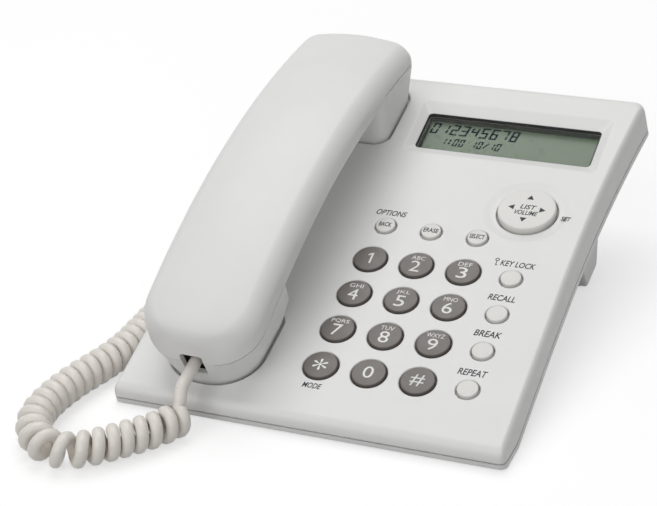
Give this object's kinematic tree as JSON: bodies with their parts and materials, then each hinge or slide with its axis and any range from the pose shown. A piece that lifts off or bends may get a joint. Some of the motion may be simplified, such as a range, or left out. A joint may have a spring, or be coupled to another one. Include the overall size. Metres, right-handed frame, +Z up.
{
  "type": "corded desk phone",
  "caption": "White corded desk phone with a handset on a curly cord, grey dial keys, function keys, a round four-way key, a display and a rear desk stand.",
  "frame": {"origin": "on the table under the middle of the phone's box, measured without the cord", "axes": "+X to the right of the user, +Y away from the user towards the raised rear edge, +Z up"},
  "size_m": [0.1846, 0.2413, 0.0907],
  "materials": {
    "white_plastic": "satin moulded",
    "white_key": "satin moulded",
    "grey_key": "satin moulded",
    "clear_lens": "clear polished",
    "display_glass": "smooth",
    "circuit_board": "lacquered",
    "key_mat": "matt",
    "foot_rubber": "matt",
    "dark_plastic": "moulded",
    "steel": "plated",
    "cord_vinyl": "smooth vinyl",
    "clear_plug": "clear moulded"
  },
  "bodies": {
    "base": {"top_cover": "white_plastic", "bottom_cover": "white_plastic", "tilt_stand": "white_plastic", "hanger_tab": "white_plastic", "lcd_lens": "clear_lens", "lcd_panel": "display_glass", "main_pcb": "circuit_board", "keypad_rubber": "key_mat", "front_foot_left": "foot_rubber", "front_foot_right": "foot_rubber", "stand_foot_left": "foot_rubber", "stand_foot_right": "foot_rubber", "hook_switch": "dark_plastic", "ringer_speaker": "dark_plastic", "line_jack": "dark_plastic", "base_handset_jack": "dark_plastic", "hook_spring": "steel", "base_screw_1": "steel", "base_screw_2": "steel", "base_screw_3": "steel", "base_screw_4": "steel", "handset_cord": "cord_vinyl", "base_plug": "clear_plug"},
    "handset": {"handset_top_cover": "white_plastic", "handset_bottom_cover": "white_plastic", "mic_capsule": "dark_plastic", "receiver_capsule": "dark_plastic", "handset_weight": "steel", "handset_jack": "dark_plastic", "handset_screw_1": "steel", "handset_screw_2": "steel", "handset_plug": "clear_plug"},
    "hook": {"hook_button": "white_plastic"},
    "key_1": {"key_1": "grey_key"},
    "key_2": {"key_2": "grey_key"},
    "key_3": {"key_3": "grey_key"},
    "key_4": {"key_4": "grey_key"},
    "key_5": {"key_5": "grey_key"},
    "key_6": {"key_6": "grey_key"},
    "key_7": {"key_7": "grey_key"},
    "key_8": {"key_8": "grey_key"},
    "key_9": {"key_9": "grey_key"},
    "key_star": {"key_star": "grey_key"},
    "key_0": {"key_0": "grey_key"},
    "key_hash": {"key_hash": "grey_key"},
    "lock_key": {"lock_key": "white_key"},
    "flash_key": {"flash_key": "white_key"},
    "pause_key": {"pause_key": "white_key"},
    "redial_key": {"redial_key": "white_key"},
    "exit_key": {"exit_key": "white_key"},
    "clear_key": {"clear_key": "white_key"},
    "enter_key": {"enter_key": "white_key"},
    "nav_pivot": {"nav_pivot": "dark_plastic"},
    "nav_key": {"nav_key": "white_key"}
  },
  "joints": [
    {"name": "handset_lift", "type": "slide", "parent": "base", "child": "handset", "axis": [0, -0.3007, 0.9537], "range_m": [0, 0.08]},
    {"name": "hook_rise", "type": "slide", "parent": "base", "child": "hook", "axis": [0, -0.3007, 0.9537], "range_m": [0, 0.003]},
    {"name": "key_1_press", "type": "slide", "parent": "base", "child": "key_1", "axis": [0, 0.3007, -0.9537], "range_m": [0, 0.0015], "stiffness_N_per_m": 400},
    {"name": "key_2_press", "type": "slide", "parent": "base", "child": "key_2", "axis": [0, 0.3007, -0.9537], "range_m": [0, 0.0015], "stiffness_N_per_m": 400},
    {"name": "key_3_press", "type": "slide", "parent": "base", "child": "key_3", "axis": [0, 0.3007, -0.9537], "range_m": [0, 0.0015], "stiffness_N_per_m": 400},
    {"name": "key_4_press", "type": "slide", "parent": "base", "child": "key_4", "axis": [0, 0.3007, -0.9537], "range_m": [0, 0.0015], "stiffness_N_per_m": 400},
    {"name": "key_5_press", "type": "slide", "parent": "base", "child": "key_5", "axis": [0, 0.3007, -0.9537], "range_m": [0, 0.0015], "stiffness_N_per_m": 400},
    {"name": "key_6_press", "type": "slide", "parent": "base", "child": "key_6", "axis": [0, 0.3007, -0.9537], "range_m": [0, 0.0015], "stiffness_N_per_m": 400},
    {"name": "key_7_press", "type": "slide", "parent": "base", "child": "key_7", "axis": [0, 0.3007, -0.9537], "range_m": [0, 0.0015], "stiffness_N_per_m": 400},
    {"name": "key_8_press", "type": "slide", "parent": "base", "child": "key_8", "axis": [0, 0.3007, -0.9537], "range_m": [0, 0.0015], "stiffness_N_per_m": 400},
    {"name": "key_9_press", "type": "slide", "parent": "base", "child": "key_9", "axis": [0, 0.3007, -0.9537], "range_m": [0, 0.0015], "stiffness_N_per_m": 400},
    {"name": "key_star_press", "type": "slide", "parent": "base", "child": "key_star", "axis": [0, 0.3007, -0.9537], "range_m": [0, 0.0015], "stiffness_N_per_m": 400},
    {"name": "key_0_press", "type": "slide", "parent": "base", "child": "key_0", "axis": [0, 0.3007, -0.9537], "range_m": [0, 0.0015], "stiffness_N_per_m": 400},
    {"name": "key_hash_press", "type": "slide", "parent": "base", "child": "key_hash", "axis": [0, 0.3007, -0.9537], "range_m": [0, 0.0015], "stiffness_N_per_m": 400},
    {"name": "lock_key_press", "type": "slide", "parent": "base", "child": "lock_key", "axis": [0, 0.3007, -0.9537], "range_m": [0, 0.0015], "stiffness_N_per_m": 400},
    {"name": "flash_key_press", "type": "slide", "parent": "base", "child": "flash_key", "axis": [0, 0.3007, -0.9537], "range_m": [0, 0.0015], "stiffness_N_per_m": 400},
    {"name": "pause_key_press", "type": "slide", "parent": "base", "child": "pause_key", "axis": [0, 0.3007, -0.9537], "range_m": [0, 0.0015], "stiffness_N_per_m": 400},
    {"name": "redial_key_press", "type": "slide", "parent": "base", "child": "redial_key", "axis": [0, 0.3007, -0.9537], "range_m": [0, 0.0015], "stiffness_N_per_m": 400},
    {"name": "exit_key_press", "type": "slide", "parent": "base", "child": "exit_key", "axis": [0, 0.3007, -0.9537], "range_m": [0, 0.0015], "stiffness_N_per_m": 400},
    {"name": "clear_key_press", "type": "slide", "parent": "base", "child": "clear_key", "axis": [0, 0.3007, -0.9537], "range_m": [0, 0.0015], "stiffness_N_per_m": 400},
    {"name": "enter_key_press", "type": "slide", "parent": "base", "child": "enter_key", "axis": [0, 0.3007, -0.9537], "range_m": [0, 0.0015], "stiffness_N_per_m": 400},
    {"name": "nav_tilt_front_rear", "type": "hinge", "parent": "base", "child": "nav_pivot", "pos_m": [0.0516, 0.0202, 0.04001], "axis": [1, 0, 0], "range_deg": [-2.5, 2.5], "stiffness_Nm_per_rad": 0.25},
    {"name": "nav_tilt_left_right", "type": "hinge", "parent": "nav_pivot", "child": "nav_key", "pos_m": [0.0516, 0.0202, 0.04001], "axis": [0, 0.9537, 0.3007], "range_deg": [-2.5, 2.5], "stiffness_Nm_per_rad": 0.25}
  ],
  "couplings": [
    {"joint": "hook_rise", "follows": "handset_lift", "ratio": 0.0375}
  ]
}
